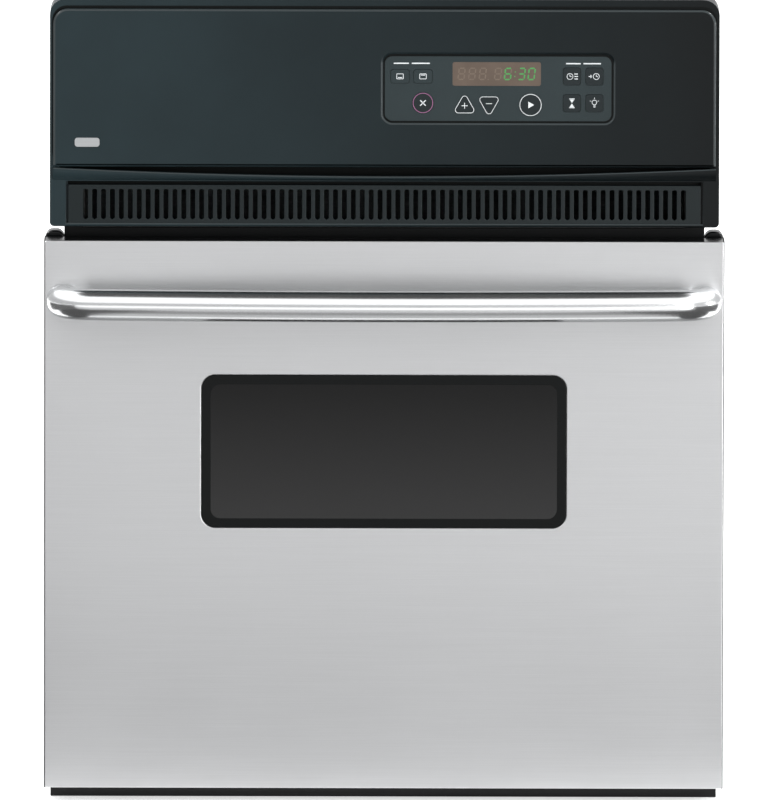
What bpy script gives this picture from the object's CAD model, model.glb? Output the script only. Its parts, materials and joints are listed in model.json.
"""The looks of a built-in wall oven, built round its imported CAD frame. Metres, +Z up, front facing -Y."""

import json
import math

import bmesh
import bpy
from mathutils import Matrix, Vector, noise

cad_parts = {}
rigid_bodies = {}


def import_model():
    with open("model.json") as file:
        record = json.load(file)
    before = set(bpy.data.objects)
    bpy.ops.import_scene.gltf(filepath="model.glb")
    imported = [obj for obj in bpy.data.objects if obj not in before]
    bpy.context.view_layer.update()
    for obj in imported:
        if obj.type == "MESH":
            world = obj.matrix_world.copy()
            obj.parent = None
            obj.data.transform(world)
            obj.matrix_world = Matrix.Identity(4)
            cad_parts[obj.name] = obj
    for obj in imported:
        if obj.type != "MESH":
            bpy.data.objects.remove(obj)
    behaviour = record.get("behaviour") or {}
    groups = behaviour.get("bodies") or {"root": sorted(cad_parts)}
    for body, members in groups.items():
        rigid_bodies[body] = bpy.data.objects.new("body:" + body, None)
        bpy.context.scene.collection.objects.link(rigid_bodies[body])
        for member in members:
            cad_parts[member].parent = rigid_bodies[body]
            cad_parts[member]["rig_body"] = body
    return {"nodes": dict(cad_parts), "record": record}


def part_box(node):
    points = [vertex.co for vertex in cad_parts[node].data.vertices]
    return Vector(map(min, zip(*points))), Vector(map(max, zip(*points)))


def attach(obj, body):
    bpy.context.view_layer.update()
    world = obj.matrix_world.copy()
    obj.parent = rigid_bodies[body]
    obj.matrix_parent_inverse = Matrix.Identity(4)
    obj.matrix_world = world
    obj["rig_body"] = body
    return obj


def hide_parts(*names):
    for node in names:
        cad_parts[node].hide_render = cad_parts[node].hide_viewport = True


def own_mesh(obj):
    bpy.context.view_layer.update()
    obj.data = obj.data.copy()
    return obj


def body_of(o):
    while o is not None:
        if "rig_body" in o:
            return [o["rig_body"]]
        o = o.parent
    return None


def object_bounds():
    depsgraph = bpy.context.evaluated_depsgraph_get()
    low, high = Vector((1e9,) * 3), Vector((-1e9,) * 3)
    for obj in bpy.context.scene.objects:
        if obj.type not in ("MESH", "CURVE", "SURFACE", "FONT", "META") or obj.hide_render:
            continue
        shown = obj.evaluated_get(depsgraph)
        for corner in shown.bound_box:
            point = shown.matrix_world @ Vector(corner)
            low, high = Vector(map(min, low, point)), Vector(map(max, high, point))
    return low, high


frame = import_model()
cad_low, cad_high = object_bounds()
panel_low, panel_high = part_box("control_panel")
overlay_low, overlay_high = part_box("control_overlay")
door_low, door_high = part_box("door_skin")

MM = 0.001
# Points closer than this are made one point
WELD_GAP = 2e-6
# How far a print or a seam lies in the surface that carries it
BEDDED = 0.02 * MM


def mm(*values):
    """Millimetres in metres."""
    return tuple(value * MM for value in values)


# ---- node helpers


class Shader:
    """A node material with one Principled shader, and short ways to drive its inputs."""

    def __init__(self, name, color, rough, metal=0.0, specular=0.5):
        self.name = name
        self.material = bpy.data.materials.new(name)
        self.material.use_nodes = True
        self.tree = self.material.node_tree
        self.bsdf = self.tree.nodes["Principled BSDF"]
        self.material.diffuse_color = (*color, 1.0)
        self.set(Base_Color=(*color, 1.0), Roughness=rough, Metallic=metal, Specular_IOR_Level=specular)

    def set(self, **values):
        for key, value in values.items():
            self.bsdf.inputs[key.replace("_", " ")].default_value = value

    def node(self, kind, **values):
        made = self.tree.nodes.new(kind)
        for key, value in values.items():
            if hasattr(made, key):
                setattr(made, key, value)
            else:
                made.inputs[key.replace("_", " ")].default_value = value
        return made

    def link(self, source, target):
        self.tree.links.new(source, target)

    def feed(self, values, sockets):
        """Puts each value in its socket, as a link or as a constant."""
        for value, socket in zip(values, sockets):
            if isinstance(value, tuple):
                socket.default_value = (*value[:3], 1.0)
            elif isinstance(value, float):
                socket.default_value = value
            else:
                self.link(value, socket)

    def coords(self, scale=(1, 1, 1)):
        place = self.node("ShaderNodeTexCoord")
        mapping = self.node("ShaderNodeMapping")
        mapping.inputs["Scale"].default_value = scale
        self.link(place.outputs["Object"], mapping.inputs["Vector"])
        return mapping.outputs["Vector"]

    def along(self, axis):
        """The place along one axis of the oven, 0 for X, 1 for Y, 2 for Z."""
        split = self.node("ShaderNodeSeparateXYZ")
        self.link(self.coords(), split.inputs[0])
        return split.outputs[axis]

    def noise(self, size, stretch=(1, 1, 1), detail=4.0, roughness=0.55):
        """Noise whose grains are about size metres, drawn out along the axes with small stretch."""
        made = self.node("ShaderNodeTexNoise", Detail=detail, Roughness=roughness, Scale=1.0)
        self.link(self.coords([s / size for s in stretch]), made.inputs["Vector"])
        return made.outputs["Fac"]

    def cells(self, size, stretch=(1, 1, 1)):
        made = self.node("ShaderNodeTexVoronoi", Scale=1.0)
        self.link(self.coords([s / size for s in stretch]), made.inputs["Vector"])
        return made

    def cell_shade(self, size, channel):
        """One value for each cell of a pattern of cells about size metres across."""
        split = self.node("ShaderNodeSeparateColor")
        self.link(self.cells(size).outputs["Color"], split.inputs[0])
        return split.outputs[channel]

    def spread(self, source, low, high, start=0.3, end=0.7):
        """Maps a 0..1 value between start and end to the span low..high."""
        made = self.node("ShaderNodeMapRange")
        ends = {"From Min": start, "From Max": end, "To Min": low, "To Max": high}
        for socket, value in ends.items():
            made.inputs[socket].default_value = value
        self.link(source, made.inputs["Value"])
        return made.outputs["Result"]

    def combine(self, operation, first, second):
        made = self.node("ShaderNodeMath", operation=operation)
        self.feed((first, second), made.inputs)
        return made.outputs[0]

    def blend(self, factor, first, second):
        made = self.node("ShaderNodeMix", data_type="RGBA")
        self.feed((factor, first, second), (made.inputs[0], made.inputs[6], made.inputs[7]))
        return made.outputs[2]

    def base(self):
        """What drives the colour so far."""
        return self.bsdf.inputs["Base Color"].links[0].from_socket

    def tint(self, factor, first, second):
        self.link(self.blend(factor, first, second), self.bsdf.inputs["Base Color"])

    def rough(self, value):
        self.link(value, self.bsdf.inputs["Roughness"])

    def bump(self, height, depth, strength=1.0):
        made = self.node("ShaderNodeBump", Strength=strength, Distance=depth)
        self.link(height, made.inputs["Height"])
        previous = self.bsdf.inputs["Normal"].links
        if previous:
            self.link(previous[0].from_socket, made.inputs["Normal"])
        self.link(made.outputs["Normal"], self.bsdf.inputs["Normal"])


# ---- kinds of finish


def shade(color, share):
    return tuple(channel * share for channel in color)


def brushed(name, color, rough, along, depth=0.000003, anisotropy=0.6):
    """Brushed metal with its grain running along one axis, 0 for X, 1 for Y, 2 for Z."""
    made = Shader(name, color, rough, metal=1.0)
    stretch = [1.0, 1.0, 1.0]
    stretch[along] = 0.004
    fine = made.noise(0.00035, stretch, detail=3)
    broad = made.noise(0.12, detail=3)
    long_marks = made.noise(0.004, stretch, detail=2)
    made.tint(made.spread(fine, 0, 1), shade(color, 0.965), shade(color, 1.03))
    fine_gloss = made.spread(fine, rough - 0.02, rough + 0.02)
    made.rough(made.combine("ADD", fine_gloss, made.spread(broad, -0.015, 0.015)))
    made.bump(fine, depth)
    made.bump(long_marks, depth * 0.6)
    if anisotropy:
        # the highlight spreads across the grain
        tangent = made.node("ShaderNodeTangent", direction_type="RADIAL", axis="XYZ"[along])
        made.link(tangent.outputs["Tangent"], made.bsdf.inputs["Tangent"])
        made.set(Anisotropic=anisotropy)
    return made


def painted(name, color, rough, grain=0.0008, depth=0.00001, specular=0.5):
    """Sprayed or moulded finish with a fine pebble and uneven gloss."""
    made = Shader(name, color, rough, specular=specular)
    pebble = made.noise(grain, detail=2)
    cloud = made.noise(0.09)
    made.tint(made.spread(cloud, 0, 1), shade(color, 0.9), shade(color, 1.12))
    made.rough(made.spread(cloud, rough - 0.03, rough + 0.03))
    made.bump(pebble, depth)
    return made


def film(name, color):
    """Matt printed film."""
    return painted(name, color, 0.38, grain=0.0004, depth=0.000004, specular=0.20)


def plated(name, color, rough):
    """Zinc-plated or galvanised sheet with its crystal spangle."""
    made = Shader(name, color, rough, metal=1.0)
    crystal = made.cell_shade(0.011, 0)
    fleck = made.cell_shade(0.004, 1)
    streak = made.noise(0.05, (1, 1, 0.3), detail=5)
    made.tint(made.spread(crystal, 0, 1, 0, 1), shade(color, 0.72), color)
    fleck_gloss = made.spread(fleck, rough - 0.07, rough + 0.05, 0, 1)
    made.rough(made.combine("ADD", fleck_gloss, made.spread(streak, -0.04, 0.06)))
    made.bump(made.noise(0.003, detail=3), 0.00001, 0.3)
    return made


def mottled(name, color, dark, light, size, rough,
            metal=0.0, specular=0.5, detail=2, roughness=0.55, relief=0.0):
    """A finish whose colour wanders between dark and light, and its gloss too if rough is a pair."""
    ends = rough if isinstance(rough, tuple) else (rough, rough)
    made = Shader(name, color, sum(ends) / 2, metal, specular)
    pattern = made.noise(size, detail=detail, roughness=roughness)
    made.tint(made.spread(pattern, 0, 1), dark, light)
    if ends[0] != ends[1]:
        made.rough(made.spread(pattern, *ends))
    if relief:
        made.bump(pattern, relief)
    return made


def graded(made, axis, start, end, first, last):
    """Scales a finish's colour evenly along one axis, from first at start to last at end."""
    scaled = made.node("ShaderNodeVectorMath", operation="SCALE")
    made.link(made.base(), scaled.inputs[0])
    made.link(made.spread(made.along(axis), first, last, start, end), scaled.inputs["Scale"])
    made.link(scaled.outputs[0], made.bsdf.inputs["Base Color"])


def rubbed_edges(made, color):
    """Paint rubbed thin and bright on rounded edges that face up or sideways."""
    place = made.node("ShaderNodeTexCoord")
    split = made.node("ShaderNodeSeparateXYZ")
    made.link(place.outputs["Normal"], split.inputs[0])
    forward = made.combine("MULTIPLY", split.outputs[1], -1.0)
    turned = made.spread(forward, 1, 0, 0.90, 0.99)
    near = made.spread(forward, 0, 1, 0.2, 0.5)
    above = made.spread(split.outputs[2], 0, 1, -0.2, 0.0)
    mask = made.combine("MULTIPLY", made.combine("MULTIPLY", turned, near), above)
    made.tint(mask, made.base(), color)


# ---- materials


def panel_black():
    made = painted("panel_black", (0.0052, 0.0094, 0.0108), 0.36, specular=0.10)
    graded(made, 0, cad_low[0], cad_high[0], 2.35, 0.25)
    rubbed_edges(made, (0.038, 0.046, 0.048))
    made.set(Coat_Weight=0.07, Coat_Roughness=0.12)
    return made


def stainless_skin():
    """The door's front, a little deeper near its top."""
    made = brushed("stainless_skin", (0.60, 0.605, 0.61), 0.36, along=0)
    graded(made, 2, door_high[2] - 0.28, door_high[2] - 0.02, 1.03, 0.89)
    return made


def duct_sheet():
    """Galvanised sheet with black paint at the duct's mouth, which fades out inside it."""
    made = plated("duct_sheet", (0.36, 0.37, 0.375), 0.38)
    depth = made.spread(made.along(1), 1, 0, -0.26, -0.10)
    made.tint(depth, made.base(), (0.004, 0.004, 0.004))
    made.link(made.spread(depth, 1, 0, 0, 1), made.bsdf.inputs["Metallic"])
    return made


def cavity_enamel():
    """Dark porcelain enamel with pale flecks."""
    made = painted("cavity_enamel", (0.022, 0.026, 0.034), 0.22, grain=0.003)
    fleck = made.spread(made.cells(0.0042).outputs["Distance"], 0.9, 0.0, 0.16, 0.24)
    made.tint(fleck, made.base(), (0.32, 0.34, 0.37))
    return made


def board_green():
    """A circuit board's lacquer over its tracks."""
    made = painted("board_green", (0.02, 0.11, 0.04), 0.3)
    tracks = made.cells(0.006, (1, 1, 0.3))
    made.tint(made.spread(tracks.outputs["Distance"], 0, 0.6, 0.3, 0.34), made.base(), (0.05, 0.22, 0.09))
    return made


def glass_wool():
    made = Shader("glass_wool", (0.62, 0.50, 0.22), 0.95, specular=0.1)
    fibre = made.noise(0.004, (1, 0.25, 1), detail=8, roughness=0.7)
    made.tint(made.spread(fibre, 0, 1), (0.45, 0.34, 0.13), (0.78, 0.66, 0.36))
    made.bump(fibre, 0.0015)
    made.set(Sheen_Weight=0.4)
    return made


def gasket_braid():
    made = Shader("gasket_braid", (0.22, 0.22, 0.21), 0.85)
    weave = made.node("ShaderNodeTexWave", Scale=1.0, Distortion=1.5, Detail=3.0)
    made.link(made.coords((500, 500, 500)), weave.inputs["Vector"])
    made.tint(weave.outputs["Fac"], (0.12, 0.12, 0.115), (0.32, 0.32, 0.30))
    made.bump(weave.outputs["Fac"], 0.0005)
    return made


def lamp_glass():
    made = Shader("lamp_glass", (0.95, 0.97, 0.97), 0.06)
    ripple = made.noise(0.012, detail=2)
    made.rough(made.spread(ripple, 0.04, 0.10))
    made.bump(ripple, 0.0002)
    made.set(Transmission_Weight=0.9, IOR=1.47)
    return made


def bulb_glass():
    made = Shader("bulb_glass", (0.95, 0.93, 0.86), 0.35)
    made.rough(made.spread(made.noise(0.002, detail=3), 0.3, 0.45))
    made.set(Transmission_Weight=0.5)
    return made


def window_tint():
    """Dark glass that looks paler towards its foot, with faint smears."""
    made = Shader("window_tint", (0.010, 0.011, 0.012), 0.07, specular=0.13)
    low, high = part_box("window_glass")
    depth = made.spread(made.along(2), 1.0, 0.0, low[2], high[2])
    made.tint(depth, (0.0005, 0.0005, 0.0005), (0.0235, 0.0235, 0.0235))
    made.rough(made.spread(made.noise(0.15, (1, 1, 2)), 0.05, 0.10))
    return made


def segment_lit():
    dark, light = (0.03, 0.17, 0.04), (0.04, 0.22, 0.05)
    made = mottled("segment_lit", (0.05, 0.6, 0.08), dark, light, 0.001, 0.4)
    made.set(Emission_Color=(0.03, 0.62, 0.06, 1), Emission_Strength=0.1)
    return made


FINISHES = [
    panel_black(),
    painted("grille_black", (0.0058, 0.0096, 0.0105), 0.40, specular=0.18),
    painted("groove_black", (0.0012, 0.002, 0.002), 0.6, specular=0.1),
    painted("black_trim", (0.004, 0.0044, 0.0048), 0.17, depth=0.000003, specular=0.22),
    painted("door_edge_paint", (0.010, 0.011, 0.012), 0.55, specular=0.06),
    painted("frame_enamel", (0.0060, 0.0066, 0.0070), 0.35, specular=0.12),
    painted("window_border", (0.0022, 0.0028, 0.0028), 0.16, depth=0.000001, specular=0.10),
    painted("motor_black", (0.03, 0.03, 0.032), 0.4),
    painted("terminal_plastic", (0.03, 0.026, 0.022), 0.5),
    painted("display_black", (0.01, 0.01, 0.01), 0.5),
    film("overlay_film", (0.0150, 0.0235, 0.0255)),
    film("key_film", (0.0070, 0.0115, 0.0128)),
    cavity_enamel(),
    board_green(),
    window_tint(),
    stainless_skin(),
    brushed("stainless_bar", (0.74, 0.75, 0.755), 0.19, along=0, depth=0.000001, anisotropy=0),
    brushed("nameplate_metal", (0.42, 0.43, 0.435), 0.3, along=0),
    brushed("spring_steel", (0.20, 0.20, 0.21), 0.35, along=2),
    brushed("bright_wire", (0.72, 0.72, 0.71), 0.2, along=1, depth=0.000002, anisotropy=0.3),
    duct_sheet(),
    plated("galvanised_sheet", (0.36, 0.37, 0.375), 0.38),
    plated("hinge_steel", (0.55, 0.55, 0.54), 0.32),
    plated("screw_zinc", (0.60, 0.60, 0.57), 0.28),
    mottled("element_sheath", (0.05, 0.05, 0.052), (0.03, 0.03, 0.032), (0.10, 0.095, 0.09),
            0.006, (0.38, 0.62), metal=0.7, detail=6, roughness=0.65, relief=0.00008),
    mottled("lamp_ceramic", (0.78, 0.74, 0.66), (0.70, 0.66, 0.58), (0.83, 0.80, 0.73),
            0.0012, (0.5, 0.7), detail=5, relief=0.00005),
    mottled("display_filter", (0.095, 0.066, 0.048), (0.070, 0.048, 0.034), (0.088, 0.062, 0.045),
            0.02, (0.28, 0.36), specular=0.4, detail=3),
    mottled("segment_off", (0.13, 0.095, 0.068), (0.098, 0.070, 0.048), (0.118, 0.086, 0.060), 0.004, 0.4),
    segment_lit(),
    mottled("print_white", (0.62, 0.65, 0.66), (0.50, 0.53, 0.54), (0.66, 0.69, 0.70), 0.0006, 0.5),
    mottled("print_red", (0.30, 0.05, 0.14), (0.20, 0.07, 0.155), (0.27, 0.10, 0.21), 0.0006, 0.5),
    glass_wool(),
    gasket_braid(),
    lamp_glass(),
    bulb_glass(),
]
MATERIALS = {finish.name: finish.material for finish in FINISHES}


# ---- mesh helpers


def weld(shape):
    bmesh.ops.remove_doubles(shape, verts=shape.verts, dist=WELD_GAP)


def mesh_from(shape, name):
    """Turns a bmesh into a mesh, and frees it."""
    mesh = bpy.data.meshes.new(name)
    shape.to_mesh(mesh)
    shape.free()
    return mesh


def finish_mesh(name, mesh, material, body, smooth=35.0, closed=True):
    """Puts a mesh in the scene as a piece on a body. A closed one is welded and its faces turned outward."""
    if closed:
        shape = bmesh.new()
        shape.from_mesh(mesh)
        weld(shape)
        bmesh.ops.recalc_face_normals(shape, faces=shape.faces)
        shape.to_mesh(mesh)
        shape.free()
    mesh.shade_smooth()
    mesh.set_sharp_from_angle(angle=math.radians(smooth))
    piece = bpy.data.objects.new(name, mesh)
    bpy.context.scene.collection.objects.link(piece)
    # large faces keep their own direction next to a rounded edge
    flat = piece.modifiers.new("normals", "WEIGHTED_NORMAL")
    flat.keep_sharp = True
    flat.weight = 100
    piece.data.materials.clear()
    piece.data.materials.append(MATERIALS[material])
    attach(piece, body)
    return piece


def plate_mesh(name, loops, y_front, y_back, edge=0.0, steps=3):
    """An upright plate from closed loops of (x, z), with rounded edges, as a mesh. Inner loops are holes."""
    curve = bpy.data.curves.new(name, "CURVE")
    curve.dimensions = "2D"
    curve.fill_mode = "BOTH"
    for loop in loops:
        spline = curve.splines.new("POLY")
        spline.points.add(len(loop) - 1)
        for point, (x, z) in zip(spline.points, loop):
            point.co = (x, z, 0, 1)
        spline.use_cyclic_u = True
    depth = y_back - y_front
    edge = min(edge, depth / 2 * 0.98)
    curve.extrude = depth / 2 - edge
    curve.bevel_depth = edge
    curve.bevel_resolution = steps
    curve.offset = -edge
    holder = bpy.data.objects.new(name, curve)
    bpy.context.scene.collection.objects.link(holder)
    graph = bpy.context.evaluated_depsgraph_get()
    mesh = bpy.data.meshes.new_from_object(holder.evaluated_get(graph))
    bpy.data.objects.remove(holder)
    bpy.data.curves.remove(curve)
    mesh.transform(Matrix.Translation((0, (y_front + y_back) / 2, 0)) @ Matrix.Rotation(math.pi / 2, 4, "X"))
    return mesh


def join_meshes(name, meshes):
    shape = bmesh.new()
    for mesh in meshes:
        shape.from_mesh(mesh)
        bpy.data.meshes.remove(mesh)
    return mesh_from(shape, name)


def plate(name, loops, y_front, y_back, edge, material, body, steps=3):
    return finish_mesh(name, plate_mesh(name, loops, y_front, y_back, edge, steps), material, body)


def mesh_of_rings(name, rings, closed=False):
    """A skin over rings of points, with flat ends unless the last ring meets the first."""
    shape = bmesh.new()
    rows = [[shape.verts.new(point) for point in ring] for ring in rings]
    for row, after in zip(rows, rows[1:] + rows[:1] if closed else rows[1:]):
        for k in range(len(row)):
            m = (k + 1) % len(row)
            shape.faces.new((row[k], row[m], after[m], after[k]))
    if not closed:
        shape.faces.new(rows[0])
        shape.faces.new(rows[-1])
    bmesh.ops.recalc_face_normals(shape, faces=shape.faces)
    return mesh_from(shape, name)


def ring_points(centre, side, rise, reaches):
    """Points round a centre, one for each reach."""
    turn = 2 * math.pi / len(reaches)
    return [
        centre + reach * (math.cos(turn * k) * side + math.sin(turn * k) * rise)
        for k, reach in enumerate(reaches)
    ]


def tube_mesh(name, path, radii, sides=32):
    """A round tube swept along points, with a radius for each."""
    rings = []
    for i, (point, radius) in enumerate(zip(path, radii)):
        along = (path[min(i + 1, len(path) - 1)] - path[max(i - 1, 0)]).normalized()
        side = Vector((0, 0, 1)).cross(along).normalized()
        rings.append(ring_points(point, side, along.cross(side).normalized(), [radius] * sides))
    return mesh_of_rings(name, rings)


def arc(cx, cz, radius, start, end, steps):
    """Points on an arc, angles in degrees, counter-clockwise from +X."""
    angles = [math.radians(start + (end - start) * i / steps) for i in range(steps + 1)]
    return [(cx + radius * math.cos(angle), cz + radius * math.sin(angle)) for angle in angles]


def circle(cx, cz, radius, steps=40):
    return arc(cx, cz, radius, 0, 360 * (steps - 1) / steps, steps - 1)


def round_rect(low_x, low_z, high_x, high_z, radius, steps=8):
    """A rectangle with round corners. radius is one number, or four from lower left counter-clockwise."""
    radii = [radius] * 4 if isinstance(radius, (int, float)) else radius
    corners = (
        (low_x + radii[0], low_z + radii[0], 180),
        (high_x - radii[1], low_z + radii[1], 270),
        (high_x - radii[2], high_z - radii[2], 0),
        (low_x + radii[3], high_z - radii[3], 90),
    )
    points = []
    for (cx, cz, start), r in zip(corners, radii):
        points += arc(cx, cz, r, start, start + 90, steps)
    return points


def inset_loop(box, inset, radius, steps=8):
    """A box's front outline with round corners, drawn in by one number, or by left, foot, right and top."""
    low, high = box
    left, foot, right, top = [inset] * 4 if isinstance(inset, (int, float)) else inset
    return round_rect(low[0] + left, low[2] + foot, high[0] - right, high[2] - top, radius, steps)


# ---- CAD nodes that stay


SLOT_OF = {part["node"]: part["material_slot"] for part in frame["record"]["subparts"]}
LOOK_OF = {"air_duct": "duct_sheet", "key_bake": "overlay_film", "key_broil": "overlay_film"}
EDGE_OF = {"bottom_trim": 0.6 * MM}
EDGE = 0.3 * MM
NO_EDGE = {"insulation_blanket", "door_insulation"}


def dress_cad_nodes():
    """Gives every CAD node its material and softly rounded edges."""
    for name, piece in frame["nodes"].items():
        slots = piece.data.materials
        slots.clear()
        slots.append(MATERIALS[LOOK_OF.get(name, SLOT_OF[name])])
        if name in NO_EDGE:
            continue
        piece.modifiers.new("weld", "WELD").merge_threshold = WELD_GAP
        bevel = piece.modifiers.new("edges", "BEVEL")
        bevel.width = EDGE_OF.get(name, EDGE)
        bevel.segments = 2
        bevel.limit_method = "ANGLE"
        bevel.angle_limit = math.radians(40)
        bevel.use_clamp_overlap = True


# ---- control panel


FACE_Y = panel_low[1]
BASE_Y = FACE_Y + 4 * MM
FACE_TOP = panel_high[2] - 8.5 * MM
FACE_LOW = panel_low[2] + 53.5 * MM
LIP_LOW = panel_low[2] + 41.5 * MM
CHEEK = 14.5 * MM
CHEEK_TOP = panel_low[2] + 12 * MM
PANEL_R = 14 * MM
FOOT_R = 4 * MM
PANEL_WALL = 3 * MM
FACE_INSET = 3 * MM
CRESCENT = 8 * MM
CRESCENT_OVERRUN = 15 * MM
PANEL = (panel_low, panel_high)
OVERLAY = (overlay_low, overlay_high)


def lip_top(x):
    """Height of the lip's upper edge, which sags to the middle."""
    half = panel_high[0] - FACE_INSET + CRESCENT_OVERRUN
    radius = (half * half + CRESCENT * CRESCENT) / (2 * CRESCENT)
    return FACE_LOW - CRESCENT + radius - math.sqrt(radius * radius - x * x)


def lip_mesh():
    """The rounded bar under the raised face, drawn as sections from left to right."""
    half = panel_high[0] - FACE_INSET
    front, back = FACE_Y + 0.5 * MM, BASE_Y + 3 * MM
    nose, fall, bend = 1.5 * MM, 3.4 * MM, 2.4
    steps, nose_steps, fall_steps = 96, 6, 8
    sections = []
    for i in range(steps + 1):
        x = -half + 2 * half * i / steps
        top = lip_top(x)
        height = top - nose - LIP_LOW
        outline = [(back, top)]
        for k in range(nose_steps + 1):
            angle = math.radians(90 * k / nose_steps)
            outline.append((front + nose - nose * math.sin(angle), top - nose + nose * math.cos(angle)))
        for k in range(1, fall_steps + 1):
            share = k / fall_steps
            outline.append((front + fall * share ** bend, top - nose - height * share))
        outline.append((back, LIP_LOW))
        sections.append([(x, y, z) for y, z in outline])
    return mesh_of_rings("lip", sections)


def groove_loop():
    """The open crescent between the raised face and the lip."""
    half = panel_high[0] - FACE_INSET - 5 * MM
    steps = 48
    places = [-half + 2 * half * i / steps for i in range(steps + 1)]
    top = FACE_LOW + 0.3 * MM
    return [(x, lip_top(x) - 0.4 * MM) for x in places] + [(half, top), (-half, top)]


def panel_outline():
    """The housing's front outline, with the grille's bay as a notch in its foot."""
    left, right, low, high = panel_low[0], panel_high[0], panel_low[2], panel_high[2]
    bay_top = LIP_LOW - 1 * MM
    corner_points, inner_r, joint_r = 9, 1.5 * MM, 0.1 * MM
    left_cheek = round_rect(left, low, left + CHEEK, CHEEK_TOP, (FOOT_R, inner_r, joint_r, joint_r))
    right_cheek = round_rect(right - CHEEK, low, right, CHEEK_TOP, (inner_r, FOOT_R, joint_r, joint_r))
    return (
        left_cheek[: 2 * corner_points]
        + [(left + CHEEK, bay_top), (right - CHEEK, bay_top)]
        + right_cheek[: 2 * corner_points]
        + arc(right - PANEL_R, high - PANEL_R, PANEL_R, 0, 90, 10)
        + arc(left + PANEL_R, high - PANEL_R, PANEL_R, 90, 180, 10)
    )


def build_control_panel():
    """The housing with its raised face, lip, recess for the keys and bay for the grille."""
    left, right, foot, joint_r = panel_low[0], panel_high[0], panel_low[2], 1.6 * MM
    side_r = PANEL_R - 1 * MM
    face_r = (joint_r, joint_r, side_r, side_r)
    face = round_rect(left + FACE_INSET, FACE_LOW, right - FACE_INSET, FACE_TOP, face_r, 12)
    recess = inset_loop(OVERLAY, mm(-0.3, -1.3, 1.9, -1.3), 8 * MM)
    hole = inset_loop(OVERLAY, 3 * MM, 6 * MM)
    front_loops = [panel_outline(), hole, groove_loop()]
    wall_out = inset_loop(PANEL, 0, (FOOT_R, FOOT_R, PANEL_R, PANEL_R))
    wall_in_r = (FOOT_R - PANEL_WALL, FOOT_R - PANEL_WALL, PANEL_R - PANEL_WALL, PANEL_R - PANEL_WALL)
    wall_in = inset_loop(PANEL, PANEL_WALL, wall_in_r)
    floor_y, floor = FACE_Y + 3 * MM, inset_loop(OVERLAY, -2 * MM, 10 * MM)
    parts = [
        plate_mesh("front_wall", front_loops, BASE_Y, BASE_Y + 7 * MM, 0.35 * MM, 2),
        plate_mesh("raised_face", [face, recess], FACE_Y, FACE_Y + 6 * MM, 2.7 * MM, 6),
        lip_mesh(),
        plate_mesh("wall_ring", [wall_out, wall_in], BASE_Y + 0.2 * MM, panel_high[1], 1.4 * MM, 4),
        plate_mesh("recess_floor", [floor, hole], floor_y, floor_y + 3 * MM),
    ]
    for side in (-1, 1):
        near, far = sorted((side * (right - CHEEK), side * (right - CHEEK - 1.5 * MM)))
        wall = round_rect(near, foot + 1 * MM, far, LIP_LOW, 0.2 * MM, 1)
        parts.append(plate_mesh("bay_side", [wall], BASE_Y + 5 * MM, BASE_Y + 38 * MM))
    piece = finish_mesh("panel_housing", join_meshes("panel_housing", parts), "panel_black", "oven", 40)
    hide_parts("control_panel")


def build_panel_groove():
    """Dark linings of the crescent, of the seams round the keys and the face, and of the bay's top."""
    side, deep, thin = panel_high[0] - FACE_INSET - 1 * MM, 16 * MM, 1 * MM
    groove_low, groove_top = LIP_LOW + 0.5 * MM, FACE_LOW + 5 * MM
    groove_out = round_rect(-side, groove_low, side, groove_top, 0.5 * MM, 2)
    groove_in = round_rect(-side + thin, groove_low + thin, side - thin, groove_top - thin, 0.5 * MM, 2)
    key_seam = [
        inset_loop(OVERLAY, mm(-1, -2, 1, -2), 9 * MM),
        inset_loop(OVERLAY, mm(1, 0.2, 3.4, 0.3), 6.5 * MM),
    ]
    key_seam_y = overlay_low[1] - 0.1 * MM
    seam_out, seam_in, seam_top = FACE_INSET - 0.9 * MM, FACE_INSET + 1 * MM, 2.6 * MM
    left, right = panel_low[0], panel_high[0]
    face_seam = [
        round_rect(left + seam_out, FACE_LOW, right - seam_out, FACE_TOP + seam_top, PANEL_R - 1 * MM),
        round_rect(left + seam_in, FACE_LOW + thin, right - seam_in, FACE_TOP - thin, PANEL_R - 2 * MM),
    ]
    bay_x = right - CHEEK - 0.1 * MM
    bay = round_rect(-bay_x, LIP_LOW - 6 * MM, bay_x, LIP_LOW + 0.4 * MM, 0.2 * MM, 1)
    parts = [
        plate_mesh("groove_walls", [groove_out, groove_in], BASE_Y + 2 * MM, BASE_Y + deep),
        plate_mesh("groove_back", [groove_out], BASE_Y + deep, BASE_Y + deep + thin),
        plate_mesh("overlay_seam", key_seam, key_seam_y, key_seam_y + 0.6 * MM),
        plate_mesh("face_seam", face_seam, BASE_Y - 0.06 * MM, BASE_Y + 0.6 * MM),
        plate_mesh("bay_shadow", [bay], BASE_Y + 8 * MM, BASE_Y + 9 * MM),
    ]
    lining = finish_mesh("panel_groove", join_meshes("panel_groove", parts), "groove_black", "oven")


SLOT_COUNT = 68
SLOT_PITCH = 7.93 * MM
SLOT_W = 4.2 * MM
SLOT_H = 27 * MM
SLOT_POINT = 1.5 * MM
SLOT_RISE = 5.6 * MM
GRILLE_SEAM = 3.4 * MM


def slot_loop(x, foot):
    """A slot of the grille, with a pointed foot and a flattened round crown."""
    side, spring = SLOT_W / 2, foot + SLOT_H - 1 * MM
    crown = [(px, (pz + spring) / 2) for px, pz in arc(x, spring, side, 0, 180, 6)]
    return crown + [(x - side, foot + SLOT_POINT), (x, foot), (x + side, foot + SLOT_POINT)]


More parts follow.
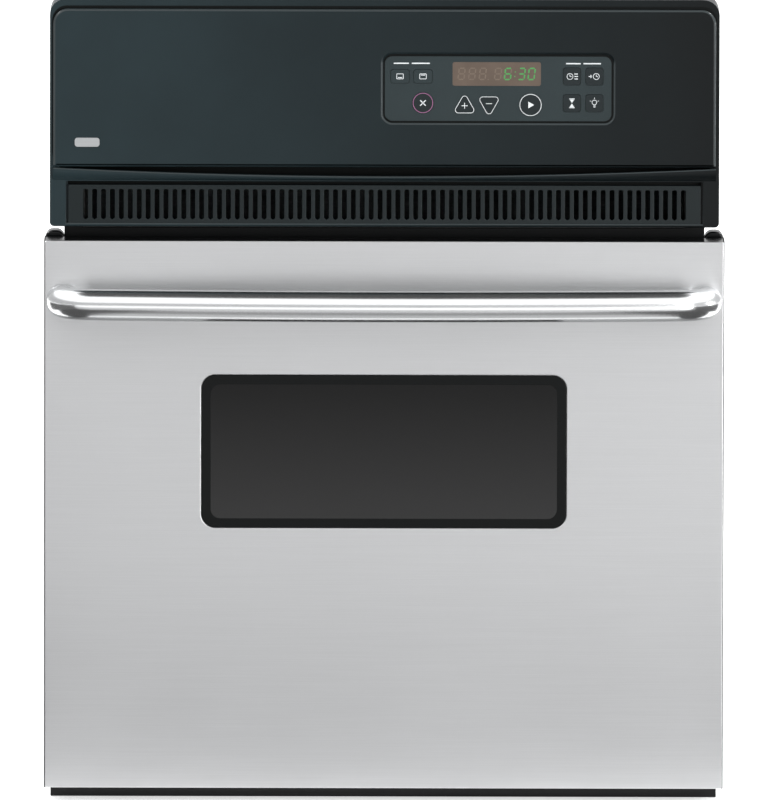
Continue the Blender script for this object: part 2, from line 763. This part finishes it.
def build_grille():
    """The slotted plate, set back in its bay with a dark gap above it and at each end."""
    low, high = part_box("vent_grille")
    sheet = 2 * MM
    left, right, top = low[0] + 1 * MM, high[0] - 1 * MM, high[2] - GRILLE_SEAM
    loops = [round_rect(left, low[2], right, top, mm(0.3, 0.3, 1, 1), 3)]
    for i in range(SLOT_COUNT):
        loops.append(slot_loop((i - (SLOT_COUNT - 1) / 2) * SLOT_PITCH, low[2] + SLOT_RISE))
    flange = [
        (left, low[2]), (left, top), (right, top), (right, low[2]), (right - sheet, low[2]),
        (right - sheet, top - sheet), (left + sheet, top - sheet), (left + sheet, low[2]),
    ]
    parts = [
        plate_mesh("slotted", loops, low[1], low[1] + 2.5 * MM, 0.35 * MM, 2),
        plate_mesh("flange", [flange], low[1] + 1 * MM, high[1]),
    ]
    piece = finish_mesh("grille_plate", join_meshes("grille_plate", parts), "grille_black", "oven", 40)
    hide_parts("vent_grille")


# ---- door


WINDOW_EDGE = 13 * MM
WINDOW_R = 12.5 * MM
WINDOW_INNER_R = 8.5 * MM
WINDOW_BAND = 8.6 * MM
SKIN_R = 1.6 * MM
SKIN_SEAM = 0.6 * MM
FOLD_SHEET = 0.8 * MM
HINGE_NOTCH = 7 * MM
SPRING_R = 5.2 * MM


def window_loop(grow=0.0):
    """The window's outline in the door's front, made larger or smaller."""
    radius = max(WINDOW_R + grow, WINDOW_INNER_R)
    return inset_loop(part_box("window_glass"), WINDOW_EDGE - grow, radius, 12)


def build_door_skin():
    """The brushed front, set in by a hair from the dark folds at its sides and top."""
    seam = (SKIN_SEAM, 0, SKIN_SEAM, SKIN_SEAM)
    loops = [inset_loop((door_low, door_high), seam, SKIN_R, 5), window_loop()]
    back = door_low[1] + 2 * SKIN_R
    piece = plate("door_front", loops, door_low[1], back, 0.9 * MM, "stainless_skin", "door", 5)
    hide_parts("door_skin")


def build_door_edges():
    """The skin's folded sides and foot, with notches in the foot for the hinge arms."""
    spring_low, spring_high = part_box("hinge_springs")
    hinge_x = spring_high[0] - SPRING_R
    notch_y = (spring_low[1] + spring_high[1]) / 2 - 6 * MM
    left, right, foot, top = door_low[0], door_high[0], door_low[2], door_high[2]
    inner, floor = right - FOLD_SHEET, foot + FOLD_SHEET
    fold = [
        (left, top), (left, foot), (right, foot), (right, top),
        (inner, top), (inner, floor), (-inner, floor), (-inner, top),
    ]
    near, far = hinge_x - HINGE_NOTCH, hinge_x + HINGE_NOTCH
    corner = [(right, foot), (right, top), (inner, top), (inner, floor), (far, floor), (far, foot)]
    mirrored = [(-x, z) for x, z in reversed(corner)]
    middle = [(-near, foot), (near, foot), (near, floor), (-near, floor)]
    parts = [plate_mesh("fold", [fold], door_low[1] + SKIN_R, notch_y, 0.1 * MM, 2)]
    for loop in (corner, mirrored, middle):
        parts.append(plate_mesh("rear_fold", [loop], notch_y - 0.2 * MM, door_high[1], 0.2 * MM, 2))
    edges = finish_mesh("door_edges", join_meshes("door_edges", parts), "door_edge_paint", "door", 40)


def build_window():
    """The glass with its black printed border."""
    face = door_low[1] + 0.35 * MM
    back = face + 2 * MM
    border_loops = [window_loop(-0.25 * MM), window_loop(-WINDOW_BAND)]
    border = plate("window_border", border_loops, face, back, 0.25 * MM, "window_border", "door")
    pane_loops = [window_loop(-WINDOW_BAND + 0.1 * MM)]
    pane = plate("window_pane", pane_loops, face + BEDDED, back, 0.02 * MM, "window_tint", "door")
    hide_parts("window_glass")


HANDLE_BOW = 2.3
HANDLE_BEND = 30 * MM
FOOT_GROW = 0.4 * MM


def handle_path():
    """The handle's centre line: a shallow bow with a bend back to the door at each end."""
    low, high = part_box("door_handle")
    radius = (high[2] - low[2]) / 2 - FOOT_GROW
    centre_z = (high[2] + low[2]) / 2
    leg_x = high[0] - radius - FOOT_GROW
    bow_y, bend_x = low[1] + radius + HANDLE_BOW, leg_x - HANDLE_BEND
    tilt = math.asin(bend_x / (HANDLE_BOW - HANDLE_BEND))
    bend_y = bow_y - (HANDLE_BOW - HANDLE_BEND) * math.cos(tilt)
    half = []
    for cx, cy, r, start, end, steps in (
        (0, bow_y, HANDLE_BOW, 0, tilt, 40),
        (bend_x, bend_y, HANDLE_BEND, tilt, math.pi / 2, 16),
    ):
        for i in range(1 if half else 0, steps + 1):
            angle = start + (end - start) * i / steps
            half.append(Vector((cx + r * math.sin(angle), cy - r * math.cos(angle), centre_z)))
    half.append(Vector((leg_x, high[1], centre_z)))
    mirrored = [Vector((-p.x, p.y, p.z)) for p in reversed(half[1:])]
    return mirrored + half, radius, leg_x


def build_handle():
    """The bowed bar, with a small collar where each end meets the door."""
    path, radius, leg_x = handle_path()
    sides = 64
    parts = [tube_mesh("handle_bar", path, [radius] * len(path), sides)]
    # how far each ring of a collar stands out from the door and from the bar
    collar = (mm(0.02, 0.4), mm(0.3, 0.4), mm(1.0, 0.35), mm(1.5, 0.02))
    for side in (-1, 1):
        steps = [Vector((side * leg_x, door_low[1] - out, path[0].z)) for out, _ in collar]
        parts.append(tube_mesh("foot", steps, [radius + grow for _, grow in collar], sides))
    mesh = join_meshes("handle_tube", parts)
    piece = finish_mesh("handle_tube", mesh, "stainless_bar", "door", 50, closed=False)
    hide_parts("door_handle")


# ---- printed marks, drawn in millimetres


MARK_T = 0.06 * MM


def middle_of(node):
    low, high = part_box(node)
    return (low[0] + high[0]) / 2, (low[2] + high[2]) / 2


def mark(name, shapes, node, body, material="print_white", origin=None):
    """Printed outlines with their holes on the front of a node, in mm from its middle or an origin."""
    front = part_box(node)[0][1]
    x0, z0 = origin or middle_of(node)
    meshes = []
    for loops in shapes:
        placed = [[(x0 + x * MM, z0 + z * MM) for x, z in loop] for loop in loops]
        meshes.append(plate_mesh(name, placed, front - MARK_T, front + BEDDED))
    piece = finish_mesh(name, join_meshes(name, meshes), material, body)


def bar(x0, z0, x1, z1):
    return [[(x0, z0), (x1, z0), (x1, z1), (x0, z1)]]


def ring(cx, cz, radius, width):
    return [circle(cx, cz, radius), circle(cx, cz, radius - width)]


def stroke(x0, z0, x1, z1, width):
    """A straight stroke between two points."""
    dx, dz = x1 - x0, z1 - z0
    length = math.hypot(dx, dz)
    ox, oz = -dz / length * width / 2, dx / length * width / 2
    return [[(x0 + ox, z0 + oz), (x0 - ox, z0 - oz), (x1 - ox, z1 - oz), (x1 + ox, z1 + oz)]]


def oven_symbol(bar_z):
    """A small box with a heat bar near its foot or its top."""
    w, h, t = 3.2, 2.5, 0.55
    box = [round_rect(-w, -h, w, h, 0.8, 3), round_rect(-w + t, -h + t, w - t, h - t, 0.4, 3)]
    return [box, bar(-1.9, bar_z - 0.35, 1.9, bar_z + 0.35)]


def clock_symbol(cx):
    radius, t = 2.9, 0.5
    return [
        ring(cx, 0, radius, t),
        stroke(cx, 0, cx, radius * 0.62, t),
        stroke(cx, 0, cx + radius * 0.5, 0, t),
    ]


def hourglass_symbol():
    half, neck = 2.4, 2.04
    return [
        bar(-half, 3.6, half, 4.3),
        bar(-half, -4.3, half, -3.6),
        [[(-neck, 3.3), (0, 0.3), (neck, 3.3)]],
        [[(-neck, -3.3), (neck, -3.3), (0, -0.3)]],
    ]


def lamp_symbol():
    bulb_z = 0.8
    shapes = [ring(0, bulb_z, 2.3, 0.5), bar(-1.1, -2.6, 1.1, -2.0), bar(-0.8, -3.6, 0.8, -3.0)]
    for angle in (20, 90, 160):
        c, s = math.cos(math.radians(angle)), math.sin(math.radians(angle))
        shapes.append(stroke(3.0 * c, bulb_z + 3.0 * s, 4.2 * c, bulb_z + 4.2 * s, 0.45))
    return shapes


def arrow_symbol(node, way):
    """A thin line inside the edge of an arrow key, round a plus if way is 1 or a minus if it is -1."""
    low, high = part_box(node)
    reach, corner, drop = 5.6, 3, 0.72
    centre_z = -way * ((high[2] - low[2]) / MM / 2 - corner - reach * drop)
    # the tip first, then counter-clockwise round the other two corners
    tips = [(0, 1.05 * reach * way), (-reach * way, -drop * reach * way), (reach * way, -drop * reach * way)]
    outlines = []
    for inset in (0.15, 0.65):
        outline = []
        for turn, (x, z) in enumerate(tips):
            start = (30 if way > 0 else 210) + 120 * turn
            outline += arc(x, centre_z + z, corner - inset, start, start + 120, 8)
        outlines.append(outline)
    t, arm = 0.6, 2.7
    sign_z = centre_z - 0.2 if way > 0 else centre_z + 0.6
    shapes = [outlines, bar(-arm, sign_z - t / 2, arm, sign_z + t / 2)]
    if way > 0:
        shapes.append(bar(-t / 2, sign_z + t / 2, t / 2, sign_z + arm))
        shapes.append(bar(-t / 2, sign_z - arm, t / 2, sign_z - t / 2))
    return shapes


def build_key_marks():
    """A plain symbol on each key, and a ring round the two main ones."""
    cross, lines, arrow_t = 2.4, (-2.2, 0, 2.2), 0.6
    marks = (
        ("bake_symbol", "key_bake", oven_symbol(-1.15)),
        ("broil_symbol", "key_broil", oven_symbol(1.15)),
        ("clear_ring", "key_clear", [ring(0, 0, 9.0, 0.6)]),
        ("clear_symbol", "key_clear",
         [stroke(-cross, -cross, cross, cross, 0.9), stroke(-cross, cross, cross, -cross, 0.9)]),
        ("start_ring", "key_start", [ring(0, 0, 9.8, 0.55)]),
        ("start_symbol", "key_start", [[[(-2.0, -3.0), (3.2, 0), (-2.0, 3.0)]]]),
        ("key_up_symbol", "key_up", arrow_symbol("key_up", 1)),
        ("key_down_symbol", "key_down", arrow_symbol("key_down", -1)),
        ("cook_time_symbol", "key_cook_time",
         clock_symbol(-1.8) + [bar(2.2, z - 0.4, 5.2, z + 0.4) for z in lines]),
        ("delay_start_symbol", "key_delay_start",
         clock_symbol(1.6) + [stroke(-5.2, 0, -2.2, 0, arrow_t)]
         + [stroke(-3.6, z, -2.2, 0, arrow_t) for z in (1.3, -1.3)]),
        ("timer_symbol", "key_timer", hourglass_symbol()),
        ("light_symbol", "key_light", lamp_symbol()),
    )
    for name, node, shapes in marks:
        mark(name, shapes, node, node, "print_red" if name == "clear_ring" else "print_white")


def build_overlay_marks():
    """Plain header bars over the two groups of keys."""
    drop, thick, gap = 6.0, 1.1, 0.08
    headers = []
    for x, length in ((8, 32), (161, 31)):
        for share in (0.42, 0.5):
            headers.append(bar(x, -drop - thick, x + length * share, -drop))
            x += length * (share + gap)
    mark("header_bars", headers, "control_overlay", "oven", origin=(0, overlay_high[2]))


# ---- display


SEGMENTS = {"8": "abcdefg", "6": "acdefg", "3": "abcdg", "0": "abcdef", "right": "b"}
DIGIT_W = 6.6
DIGIT_H = 11.2
DIGIT_BASE = 5.4
DIGIT_PITCH = 9.4
DIGIT_LEAN = 0.12


def digit_shapes(left, segments):
    """The bars of one seven-bar digit, in mm from the display's lower left, leaning a little to the right."""
    t, gap = DIGIT_W * 0.19, DIGIT_W * 0.045
    tip, width = t * 0.55 + gap, DIGIT_W

    def slanted(points):
        return [[(left + x + DIGIT_LEAN * z, DIGIT_BASE + z) for x, z in points]]

    def flat(z):
        return slanted([
            (tip, z), (t + gap, z - t / 2), (width - t - gap, z - t / 2),
            (width - tip, z), (width - t - gap, z + t / 2), (t + gap, z + t / 2),
        ])

    def tall(x, z0, z1):
        return slanted([
            (x, z0 + tip), (x + t / 2, z0 + t + gap), (x + t / 2, z1 - t - gap),
            (x, z1 - tip), (x - t / 2, z1 - t - gap), (x - t / 2, z0 + t + gap),
        ])

    low, mid, top = t / 2, DIGIT_H / 2, DIGIT_H - t / 2
    lap = t * 0.4
    right = width - t / 2
    shape_of = {
        "a": flat(top), "g": flat(mid), "d": flat(low),
        "b": tall(right, mid - lap, top + lap), "c": tall(right, low - lap, mid + lap),
        "f": tall(t / 2, mid - lap, top + lap), "e": tall(t / 2, low - lap, mid + lap),
    }
    return [shape_of[segment] for segment in SEGMENTS[segments]]


def build_digits():
    """The clock's lit time, and the unlit bars of the other digits."""
    first, hour, dots, tens, ones = 4.4, 45.6, 55.2, 57.8, 66.6
    fourth = first + 3 * DIGIT_PITCH
    off = []
    for i in range(3):
        off += digit_shapes(first + i * DIGIT_PITCH, "8")
    off.append([circle(fourth - 0.6, DIGIT_BASE + 0.6, 0.6, 12)])
    off += digit_shapes(fourth + 4.2, "8") + digit_shapes(hour, "right")
    lit = digit_shapes(hour, "6")
    lit += [[circle(dots + DIGIT_LEAN * z, DIGIT_BASE + z, 0.55, 12)] for z in (3.4, 7.4)]
    lit += digit_shapes(tens, "3") + digit_shapes(ones, "0")
    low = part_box("display_window")[0]
    for name, shapes, material in (("digits_off", off, "segment_off"), ("digits_lit", lit, "segment_lit")):
        mark(name, shapes, "display_window", "oven", material, (low[0], low[2]))


def build_display():
    """The display's filter in its frame."""
    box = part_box("display_window")
    low, high = box
    grow = 0.35 * MM
    front = overlay_low[1] - BEDDED
    hole = inset_loop(box, grow, 1.9 * MM)
    rim = inset_loop(box, -grow, 0.2 * MM, 2)
    border = plate("display_frame", [rim, hole], front, front + 0.6 * MM, 0.12 * MM, "overlay_film", "oven")
    pane = plate("display_pane", [rim], low[1], high[1], 0.1 * MM, "display_filter", "oven")
    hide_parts("display_window")


# ---- trims and springs


TRIM_WALL = 2 * MM
TRIM_CROWN = 7 * MM
TRIM_SCREW_X = 294 * MM
TRIM_SCREW_Z = mm(70, 440)


def build_trims():
    """The black channels beside the door, with rounded upper ends and holes for a screwdriver."""
    for node, side in (("left_side_trim", -1), ("right_side_trim", 1)):
        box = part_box(node)
        low, high = box
        crown_in = TRIM_CROWN - TRIM_WALL
        outer = inset_loop(box, 0, (0.6 * MM, 0.6 * MM, TRIM_CROWN, TRIM_CROWN))
        inner = inset_loop(
            box, (TRIM_WALL, -1 * MM, TRIM_WALL, TRIM_WALL), (0.3 * MM, 0.3 * MM, crown_in, crown_in))
        # the channel is open at its foot but for a hair, which keeps the outline in one piece
        inner = [(x, max(z, low[2] + 0.2 * MM)) for x, z in inner]
        holes = [circle(side * TRIM_SCREW_X, z, 5 * MM, 24) for z in TRIM_SCREW_Z]
        threads = [circle(side * TRIM_SCREW_X, z, 2.5 * MM, 20) for z in TRIM_SCREW_Z]
        back = inset_loop(box, (1 * MM, 0, 1 * MM, TRIM_CROWN), 0.3 * MM, 2)
        parts = [
            plate_mesh("face", [outer] + holes, low[1], low[1] + 3.4 * MM, 1.6 * MM, 5),
            plate_mesh("sides", [outer, inner], low[1] + 1.7 * MM, high[1], 0.3 * MM, 2),
            plate_mesh("back", [back] + threads, high[1] - TRIM_WALL, high[1] - BEDDED),
        ]
        piece = finish_mesh(node + "_channel", join_meshes(node, parts), "black_trim", "oven", 40)
        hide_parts(node)


COIL_R = 4.3 * MM
WIRE_R = 0.8 * MM
COIL_TURNS = 11
COIL_STEPS = 16


def build_springs():
    """Coil springs on the rods, which shorten as the door opens."""
    low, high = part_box("hinge_springs")
    length = high[2] - low[2]
    points = COIL_TURNS * COIL_STEPS
    for side, name in ((-1, "left_spring"), (1, "right_spring")):
        centre = Vector((side * (high[0] - SPRING_R), (low[1] + high[1]) / 2, 0))
        path = []
        for i in range(points + 1):
            angle = 2 * math.pi * i / COIL_STEPS
            z = low[2] + WIRE_R + (length - 2 * WIRE_R) * i / points
            path.append(centre + Vector((COIL_R * math.cos(angle), COIL_R * math.sin(angle), z)))
        mesh = tube_mesh(name, path, [WIRE_R] * len(path), 8)
        coil = finish_mesh(name, mesh, "spring_steel", "door", closed=False)
        if side < 0:
            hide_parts("hinge_springs")
        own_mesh(coil)


# ---- soft parts


GASKET_STEP = 1.1 * MM
GASKET_LAY = 9 * MM


def evenly(loop, y, gap):
    """Points spaced evenly along a closed loop of (x, z)."""
    ends = loop[1:] + loop[:1]
    spans = [math.dist(a, b) for a, b in zip(loop, ends)]
    total = sum(spans)
    count = round(total / gap)
    points, done, k = [], 0.0, 0
    for i in range(count):
        at = total * i / count
        while k < len(loop) - 1 and done + spans[k] < at:
            done += spans[k]
            k += 1
        share = (at - done) / spans[k] if spans[k] else 0.0
        a, b = loop[k], ends[k]
        points.append(Vector((a[0] + (b[0] - a[0]) * share, y, a[1] + (b[1] - a[1]) * share)))
    return points


def build_gasket():
    """A braided tube round the cavity mouth, with strands that cross."""
    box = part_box("door_gasket")
    low, high = box
    radius = (high[1] - low[1]) / 2
    path = evenly(inset_loop(box, radius, 20 * MM, 16), (low[1] + high[1]) / 2, GASKET_STEP)
    sides, strands, relief = 20, 5, 0.09
    turn = 2 * math.pi * round(len(path) * GASKET_STEP / GASKET_LAY) / len(path)
    side = Vector((0, 1, 0))
    rings = []
    for i, point in enumerate(path):
        along = (path[(i + 1) % len(path)] - path[i - 1]).normalized()
        reaches = []
        for k in range(sides):
            angle = strands * 2 * math.pi * k / sides
            weave = max(math.cos(angle + turn * i), math.cos(angle - turn * i))
            reaches.append(radius * (1 - relief * (1 - weave)))
        rings.append(ring_points(point, side, along.cross(side).normalized(), reaches))
    mesh = mesh_of_rings("gasket", rings, closed=True)
    body = body_of(frame["nodes"]["door_gasket"])[0]
    piece = finish_mesh("gasket_braid", mesh, "gasket_braid", body, 80, closed=False)
    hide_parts("door_gasket")


WOOL_PASSES = 8
WOOL_INSET = 1.3 * MM
WOOL_LUMP = 0.8 * MM


def build_wool():
    """Glass wool round the cavity and in the door, with a lumpy, fibrous surface."""
    for node, name, cell in (
        ("insulation_blanket", "cavity_wool", 16 * MM),
        ("door_insulation", "door_wool", 12 * MM),
    ):
        shape = bmesh.new()
        shape.from_mesh(frame["nodes"][node].data)
        weld(shape)
        for _ in range(WOOL_PASSES):
            long_edges = [edge for edge in shape.edges if edge.calc_length() > cell]
            if not long_edges:
                break
            bmesh.ops.subdivide_edges(shape, edges=long_edges, cuts=1)
            bmesh.ops.triangulate(shape, faces=shape.faces)
        shape.normal_update()
        places = []
        for vertex in shape.verts:
            lump = noise.noise(vertex.co / (35 * MM)) + 0.5 * noise.noise(vertex.co / (12 * MM))
            places.append(vertex.co - vertex.normal * (WOOL_INSET + WOOL_LUMP * lump))
        for vertex, place in zip(shape.verts, places):
            vertex.co = place
        body = body_of(frame["nodes"][node])[0]
        piece = finish_mesh(name, mesh_from(shape, name), "glass_wool", body, 80, closed=False)
        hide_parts(node)


# ---- stage, light, camera


# Brightness of the studio by the sine of the height above the horizon, zero at the horizon
SKY = ((0.0, 0.66), (0.22, 0.66), (0.34, 0.70), (0.38, 1.5), (0.88, 1.5), (0.93, 0.12), (1.0, 0.08))
# How much brighter the studio is to the right than to the left
SKY_TILT = 0.1


def in_scene(name, data):
    piece = bpy.data.objects.new(name, data)
    bpy.context.scene.collection.objects.link(piece)
    return piece


def flat_sheet(name, corners, material):
    """One flat face that belongs to the stage."""
    mesh = bpy.data.meshes.new(name)
    mesh.from_pydata(corners, [], [(0, 1, 2, 3)])
    mesh.materials.append(material)
    sheet = in_scene(name, mesh)
    return sheet


def build_world():
    """A soft studio: a broad light above the front, a dark ceiling and pale walls."""
    world = bpy.data.worlds.new("studio")
    bpy.context.scene.world = world
    world.use_nodes = True
    tree = world.node_tree
    place = tree.nodes.new("ShaderNodeTexCoord")
    split = tree.nodes.new("ShaderNodeSeparateXYZ")
    tree.links.new(place.outputs["Generated"], split.inputs[0])
    ramp = tree.nodes.new("ShaderNodeValToRGB")
    tree.links.new(split.outputs[2], ramp.inputs[0])
    stops = ramp.color_ramp.elements
    for spot, level in SKY:
        stop = stops[0] if spot == 0 else stops[-1] if spot == 1 else stops.new(spot)
        stop.color = (level, level, level * 1.01, 1)
    tilt = tree.nodes.new("ShaderNodeMapRange")
    ends = {"From Min": -1, "From Max": 1, "To Min": 1 - SKY_TILT, "To Max": 1 + SKY_TILT}
    for socket, value in ends.items():
        tilt.inputs[socket].default_value = value
    tree.links.new(split.outputs[0], tilt.inputs["Value"])
    tree.links.new(ramp.outputs["Color"], tree.nodes["Background"].inputs["Color"])
    tree.links.new(tilt.outputs["Result"], tree.nodes["Background"].inputs["Strength"])


def build_stage():
    """A pale floor that is greyer in front of the oven than beside and behind it."""
    floor_z = cad_low[2] - 0.3 * MM
    reach = 60.0
    paper = Shader("floor_paper", (0.92, 0.92, 0.92), 0.9, specular=0.0)
    place, front = paper.along(1), cad_low[1]
    back = paper.spread(place, 0, 1, front - 0.07, front + 0.07)
    far = paper.spread(place, 0.86, 0, front - 2.3, front - 1.25)
    bright = paper.combine("MAXIMUM", back, far)
    tooth = paper.noise(0.5, detail=3)
    grey = paper.blend(paper.spread(tooth, 0, 1), (0.50, 0.50, 0.50), (0.52, 0.52, 0.52))
    paper.tint(bright, grey, (0.97, 0.97, 0.97))
    paper.link(paper.blend(bright, (0.0, 0.0, 0.0), (1.0, 1.0, 1.0)), paper.bsdf.inputs["Emission Color"])
    paper.set(Emission_Strength=0.6)
    turns = ((-1, -1), (1, -1), (1, 1), (-1, 1))
    flat_sheet("floor", [(x * reach, y * reach, floor_z) for x, y in turns], paper.material)


def reflection_card(name, corners, level):
    """A matt card that only shows in reflections, as a studio flag does."""
    card = flat_sheet(name, corners, Shader(name, (level, level, level), 0.9, specular=0.0).material)
    card.visible_camera = False
    card.visible_diffuse = False
    card.visible_shadow = False
    card.visible_transmission = False


def floor_card(name, x0, x1, front, back, z, level):
    reflection_card(name, [(x0, front, z), (x1, front, z), (x1, back, z), (x0, back, z)], level)


def build_cards():
    """Flags that darken the handle's lower side, on the floor and upright at the sides."""
    ground = cad_low[2] + 2 * MM
    middle, outer, wall_x, wall_top = 0.33, 1.2, 1.0, 0.40
    for side, name in ((-1, "left_flag"), (1, "right_flag")):
        floor_card(name, side * middle, side * outer, -1.1, -0.1, ground, 0.08)
    for side, name in ((-1, "left_wall_flag"), (1, "right_wall_flag")):
        x, front, back = side * wall_x, -1.0, 0.4
        corners = [(x, front, ground), (x, back, ground), (x, back, wall_top), (x, front, wall_top)]
        reflection_card(name, corners, 0.12)
    floor_card("front_flag", -middle, middle, -0.98, -0.66, ground, 0.3)


def area_light(name, place, target, size_x, size_y, power):
    data = bpy.data.lights.new(name, "AREA")
    data.shape = "RECTANGLE"
    data.size, data.size_y = size_x, size_y
    data.energy = power
    lamp = in_scene(name, data)
    lamp.location = place
    lamp.rotation_euler = (Vector(target) - Vector(place)).to_track_quat("-Z", "Y").to_euler()
    lamp.visible_camera = False
    return lamp


def build_lights():
    """Soft boxes, and small lamps behind the face's plane that light only its rounded edges."""
    middle = (0, door_low[1], 0.4)
    area_light("panel_light", (-1.1, -1.4, 1.5), (-0.15, door_low[1], 0.62), 0.4, 0.4, 5)
    area_light("right_softbox", (1.5, -2.3, 0.5), middle, 1.0, 1.4, 42)
    area_light("back_softbox", (0, 3.2, 2.8), (0, 0, 0.4), 4.0, 2.0, 18)
    rim, size = (0, FACE_Y, FACE_TOP), 0.3
    for name, place, power in (
        ("rim_upper_left", (-2.0, 0.1, 2.6), 80),
        ("rim_upper_right", (2.0, 0.1, 2.6), 80),
        ("rim_right", (2.6, 0.1, 0.7), 24),
    ):
        area_light(name, place, rim, size, size, power).visible_diffuse = False
    bpy.context.scene.view_settings.view_transform = "Standard"


CAMERA_DISTANCE = 22.0
CAMERA_ELEVATION = 6.0
CAMERA_ROLL = 0.13
AIM_Z = 0.3507
FRAME_HEIGHT = 0.7114
SENSOR_MM = 36


def build_camera():
    """A long lens from far off and a little above, as the photo was taken."""
    data = bpy.data.cameras.new("camera")
    camera = in_scene("camera", data)
    aim = Vector((0, door_low[1], AIM_Z))
    rise = math.radians(CAMERA_ELEVATION)
    back = Vector((0, -math.cos(rise), math.sin(rise)))
    camera.location = aim + back * CAMERA_DISTANCE
    turn = (-back).to_track_quat("-Z", "Y").to_matrix().to_4x4()
    camera.rotation_euler = (turn @ Matrix.Rotation(math.radians(CAMERA_ROLL), 4, "Z")).to_euler()
    data.sensor_width = SENSOR_MM
    data.lens = SENSOR_MM * CAMERA_DISTANCE / FRAME_HEIGHT
    data.clip_start, data.clip_end = 0.5, 200
    bpy.context.scene.camera = camera


build_camera()
build_world()
build_stage()
build_cards()
build_lights()
dress_cad_nodes()
build_control_panel()
build_panel_groove()
build_grille()
build_door_skin()
build_door_edges()
build_window()
build_handle()
build_key_marks()
build_overlay_marks()
build_display()
build_digits()
build_trims()
build_springs()
build_gasket()
build_wool()
